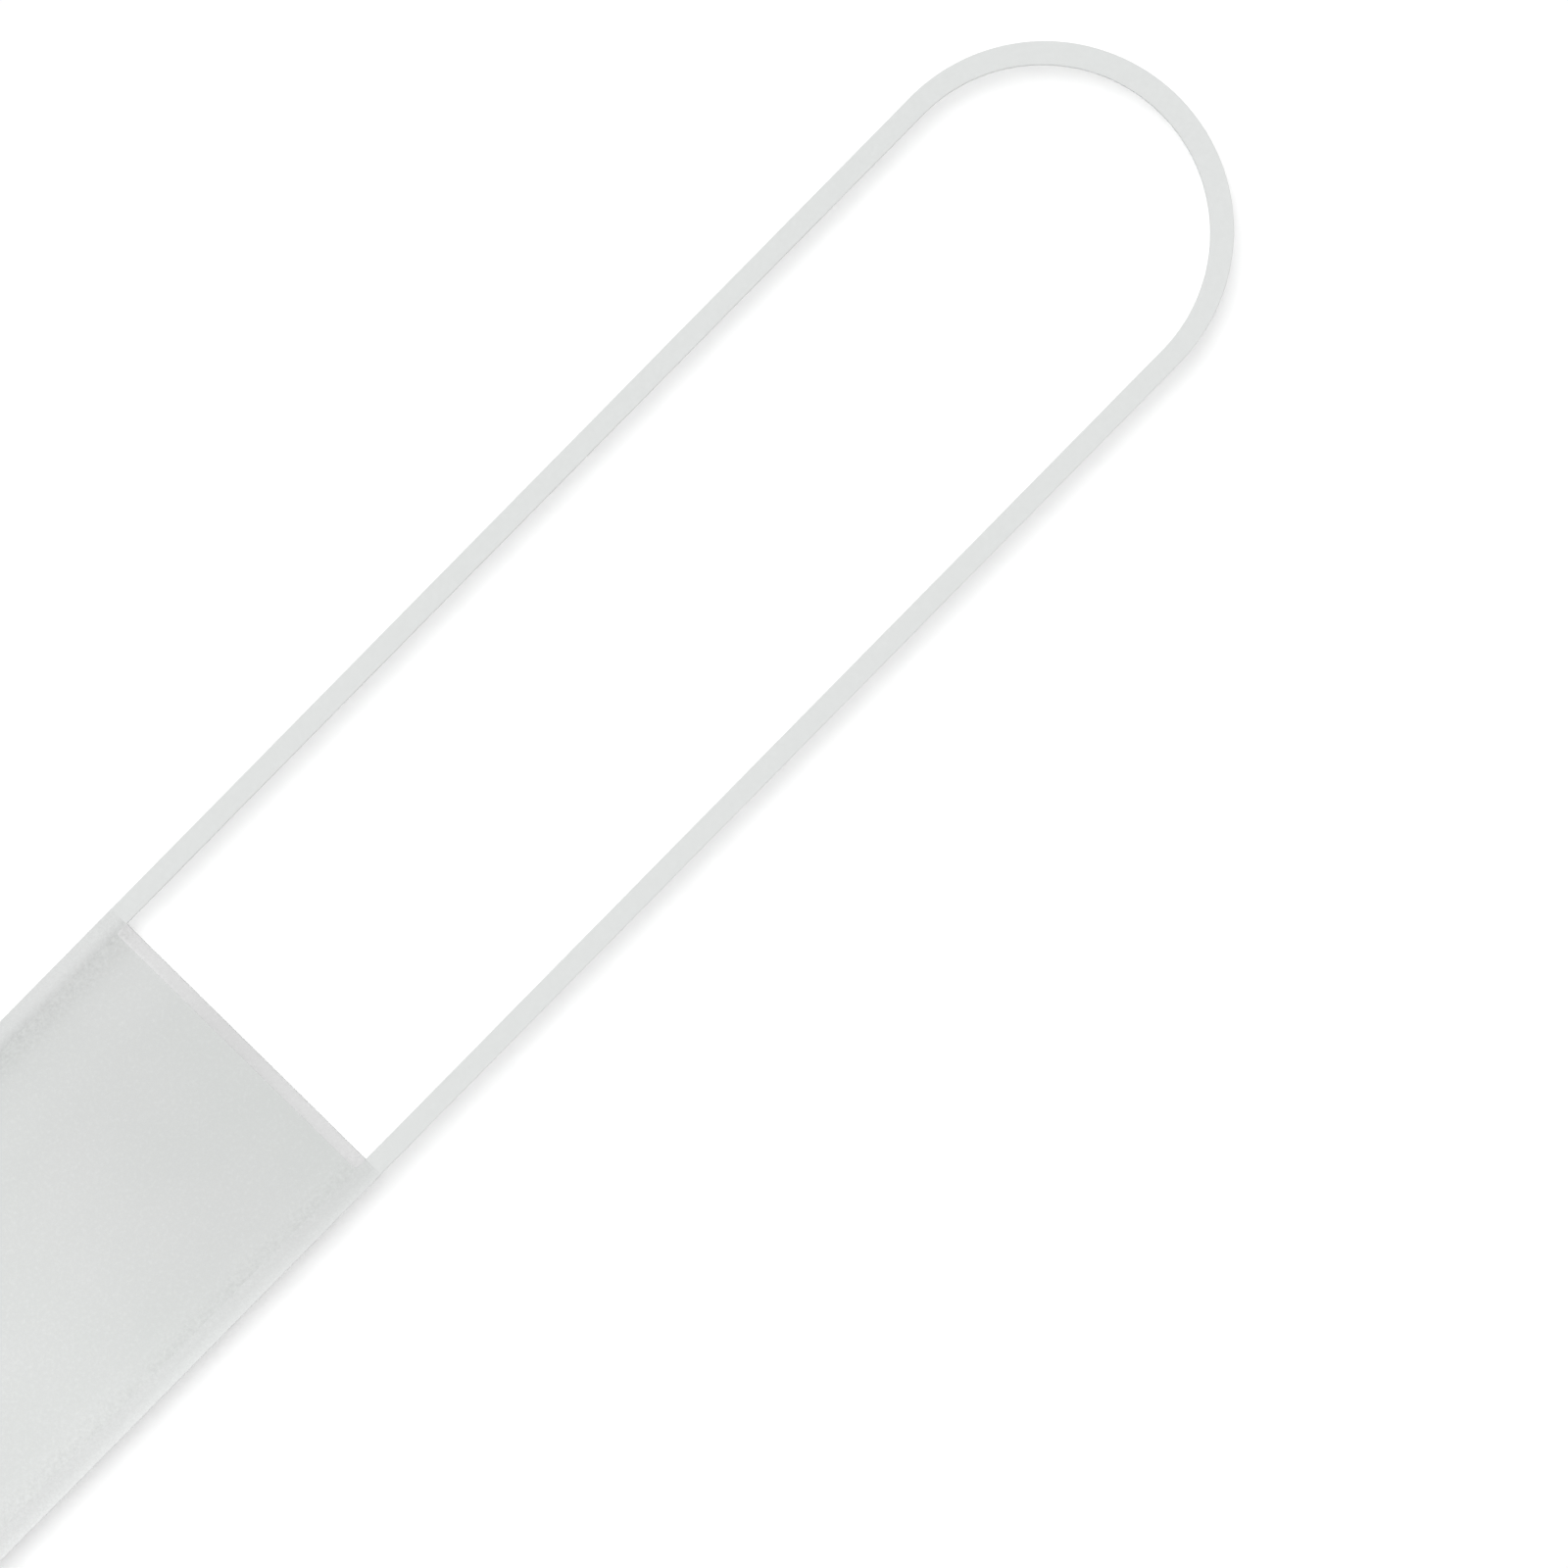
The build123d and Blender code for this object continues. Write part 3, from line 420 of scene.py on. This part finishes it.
def loop_sleeve():
    """The sleeve swept down one leg, round the bow and back, a little thicker at the tip."""
    leg_steps, bow_steps = 48, 144
    leg = BOW_CENTRE - BORDER
    stations = [(BORDER + leg * i / leg_steps, -90.0) for i in range(leg_steps)]
    stations += [(BOW_CENTRE, -90 + 180 * i / bow_steps) for i in range(bow_steps + 1)]
    stations += [(BOW_CENTRE - leg * i / leg_steps, 90.0) for i in range(1, leg_steps + 1)]
    bm = bmesh.new()
    rings = []
    for x, degrees in stations:
        turn = math.radians(degrees)
        across, along = math.sin(turn), math.cos(turn)
        inner = INNER_HALF - BOW_EXTRA * along
        section = sleeve_section(inner)
        rings.append([bm.verts.new((x + d * along, d * across, z)) for d, z in section])
    join_rings(bm, rings)
    bm.faces.new(rings[0])
    bm.faces.new(reversed(rings[-1]))
    piece = new_piece("loop_sleeve", bm)
    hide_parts("light_tube")
    wear(piece, "opal_sleeve")


# ---- Diffuser -------------------------------------------------------------------------------


def dish_height(y):
    """Height of the diffuser's face: flat in the middle, rising along an arc to its long edges."""
    reach = max(abs(y) - (INNER_HALF - DISH_SLOPE), 0.0)
    radius = (DISH_SLOPE**2 + DISH_DEPTH**2) / (2 * DISH_DEPTH)
    return PANEL_HIGH.z - DISH_DEPTH + radius - math.sqrt(radius**2 - reach**2)


def bar_start(y):
    """Where the bar begins at y: its two corners on the body's side are rounded."""
    short = BAR_CORNER - min(INNER_HALF - HAIRLINE - abs(y), BAR_CORNER)
    return BAR_LOW.x + BAR_CORNER - math.sqrt(BAR_CORNER**2 - short**2)


def across_dish(half, slope_steps=24, flat_steps=24):
    """Places across the dish from -half to half, close together on its two slopes."""
    foot = INNER_HALF - DISH_SLOPE
    slope = [foot + (half - foot) * i / slope_steps for i in range(slope_steps + 1)]
    flat = [foot * (2 * i / flat_steps - 1) for i in range(1, flat_steps)]
    return [-y for y in reversed(slope)] + flat + slope


def diffuser():
    """The dished panel as a closed slab that meets the rims and the bar with hairline gaps."""
    half = INNER_HALF - HAIRLINE
    start = PANEL_LOW.x
    length_steps = 40
    ys = across_dish(half)
    bm = bmesh.new()
    rings = []
    for step in range(length_steps + 1):
        xs = [start + (bar_start(y) - HAIRLINE - start) * step / length_steps for y in ys]
        top = [bm.verts.new((x, y, dish_height(y))) for x, y in zip(xs, ys)]
        bottom = [bm.verts.new((x, y, PANEL_LOW.z)) for x, y in reversed(list(zip(xs, ys)))]
        rings.append(top + bottom)
    join_rings(bm, rings)
    count = len(rings[0])
    for ring in (rings[0], rings[-1]):
        for i in range(len(ys) - 1):
            bm.faces.new((ring[i], ring[i + 1], ring[count - 2 - i], ring[count - 1 - i]))
    piece = new_piece("diffuser_face", bm)
    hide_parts("diffuser_panel")
    wear(piece, "frosted_panel")


# ---- Bar across the border ------------------------------------------------------------------


def bar():
    """The bar as a closed strip that follows the dish, with rounded long edges and corners."""
    half = INNER_HALF - HAIRLINE
    edge, steps = 0.0001, 4
    bm = bmesh.new()
    rings = []
    for y in across_dish(half):
        top = dish_height(y) + BAR_STEP
        start = bar_start(y)
        section = [(start, BAR_LOW.z)]
        section += corner_arc(start + edge, top - edge, edge, 180, 90, steps)
        section += corner_arc(BAR_HIGH.x - edge, top - edge, edge, 90, 0, steps)
        section += [(BAR_HIGH.x, BAR_LOW.z)]
        rings.append([bm.verts.new((x, y, z)) for x, z in section])
    join_rings(bm, rings)
    bm.faces.new(rings[0])
    bm.faces.new(rings[-1])
    piece = new_piece("bar_strip", bm)
    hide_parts("end_bar")
    wear(piece, "frosted_bar")


# ---- Marks on the buttons -------------------------------------------------------------------


def flat_mark(name, outlines, z, body):
    """Thin inlays on a button, each from a closed outline of (x, y) points."""
    thickness = 0.00012
    bm = bmesh.new()
    for outline in outlines:
        low = [bm.verts.new((x, y, z)) for x, y in outline]
        high = [bm.verts.new((x, y, z + thickness)) for x, y in outline]
        for i in range(len(outline)):
            j = (i + 1) % len(outline)
            bm.faces.new((low[i], low[j], high[j], high[i]))
        bm.faces.new(reversed(low))
        bm.faces.new(high)
    piece = new_piece(name, bm)
    wear(piece, "dark_plastic", body)


def button_marks():
    """A broken ring with a short bar on the power button, and a half-filled ring on the other."""
    stroke = 0.0005
    recess = 0.0002
    stem_start, stem_end = 0.0009, 0.003
    low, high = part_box("power_button")
    x, y, z = (low.x + high.x) / 2, (low.y + high.y) / 2, high.z - recess
    radius = 0.0022
    ring = corner_arc(x, y, radius, 40, 320, 28)
    ring += corner_arc(x, y, radius - stroke, 320, 40, 28)
    stem = [(x + stem_start, y - stroke / 2), (x + stem_end, y - stroke / 2)]
    stem += [(x + stem_end, y + stroke / 2), (x + stem_start, y + stroke / 2)]
    flat_mark("power_mark", [ring, stem], z, "power_button")
    low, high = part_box("colour_button")
    x, y, z = (low.x + high.x) / 2, (low.y + high.y) / 2, high.z - recess
    radius = 0.0017
    half_disc = corner_arc(x, y, radius, 90, 270, 20)
    thin_arc = corner_arc(x, y, radius, -90, 90, 20)
    thin_arc += corner_arc(x, y, radius - stroke / 2, 90, -90, 20)
    flat_mark("colour_mark", [half_disc, thin_arc], z, "colour_button")


loop_sleeve()
diffuser()
bar()
button_marks()

# ---- Floor, light and camera ----------------------------------------------------------------


FLOOR_COLOUR = (0.98, 0.98, 0.98)
WORLD_LEVEL = 0.15  # the three levels are shares of the light on a flat face
OVERHEAD_LEVEL = 0.565
KEY_LEVEL = 0.352
OVERHEAD_SPREAD = 0.3  # degrees: small, so that no dark fringe lies around the object
KEY_SPREAD = 29  # degrees
KEY_FROM = Vector((0.366, 0.93, 0)).normalized()
KEY_TILT = math.radians(20)
SUN_UNIT = math.pi  # a sun of this strength lights a flat face as a white world of strength 1
CAMERA_TURN = math.radians(-45.45)
VIEW_WIDTH = 0.4346
BOW_RIGHT = 0.1662  # the bow's centre in the view, as shares of its width from the middle
BOW_UP = 0.3531


def floor():
    bpy.ops.mesh.primitive_plane_add(size=60, location=(0, 0, 0))
    plane = bpy.context.object
    plane.name = "floor"
    s = Shader("floor", 0.9)
    s.bsdf.inputs["Base Color"].default_value = (*FLOOR_COLOUR, 1)
    s.bsdf.inputs["Specular IOR Level"].default_value = 0.0
    plane.data.materials.append(s.material)


def sun(name, towards, strength, spread):
    """A soft distant light that shines along towards, with an angular size in degrees."""
    data = bpy.data.lights.new(name, "SUN")
    data.energy = strength
    data.angle = math.radians(spread)
    lamp = bpy.data.objects.new(name, data)
    lamp.rotation_mode = "QUATERNION"
    lamp.rotation_quaternion = Vector(towards).to_track_quat("-Z", "Y")
    bpy.context.scene.collection.objects.link(lamp)


def surroundings(glow, seen):
    """A plain pale world: glow is its light on the object, seen is its brightness to the camera."""
    world = bpy.data.worlds.new("pale")
    world.use_nodes = True
    tree = world.node_tree
    tree.nodes.clear()
    path = tree.nodes.new("ShaderNodeLightPath")
    lit = tree.nodes.new("ShaderNodeBackground")
    shown = tree.nodes.new("ShaderNodeBackground")
    mix = tree.nodes.new("ShaderNodeMixShader")
    out = tree.nodes.new("ShaderNodeOutputWorld")
    lit.inputs["Strength"].default_value = glow
    shown.inputs["Strength"].default_value = seen
    for background in (lit, shown):
        background.inputs["Color"].default_value = (1, 1, 1, 1)
    tree.links.new(path.outputs["Is Camera Ray"], mix.inputs["Fac"])
    tree.links.new(lit.outputs[0], mix.inputs[1])
    tree.links.new(shown.outputs[0], mix.inputs[2])
    tree.links.new(mix.outputs[0], out.inputs["Surface"])
    bpy.context.scene.world = world


def camera():
    """Straight down on the object, turned so that the loop points to the upper right."""
    right = Vector((math.cos(CAMERA_TURN), math.sin(CAMERA_TURN), 0))
    up = Vector((-math.sin(CAMERA_TURN), math.cos(CAMERA_TURN), 0))
    bow = Vector((BOW_CENTRE, 0, TOP))
    centre = bow - BOW_RIGHT * VIEW_WIDTH * right - BOW_UP * VIEW_WIDTH * up
    data = bpy.data.cameras.new("camera")
    data.lens = 1500
    data.sensor_width = 36
    data.clip_end = 100
    eye = bpy.data.objects.new("camera", data)
    eye.location = centre + Vector((0, 0, VIEW_WIDTH * data.lens / data.sensor_width))
    eye.rotation_euler = (0, 0, CAMERA_TURN)
    bpy.context.scene.collection.objects.link(eye)
    bpy.context.scene.camera = eye


floor()
surroundings(WORLD_LEVEL, 1.0)
sun("overhead", (0, 0, -1), OVERHEAD_LEVEL * SUN_UNIT, OVERHEAD_SPREAD)
key_towards = -KEY_FROM * math.sin(KEY_TILT) - Vector((0, 0, math.cos(KEY_TILT)))
sun("key", key_towards, KEY_LEVEL * SUN_UNIT, KEY_SPREAD)
camera()
bpy.context.scene.view_settings.view_transform = "Standard"
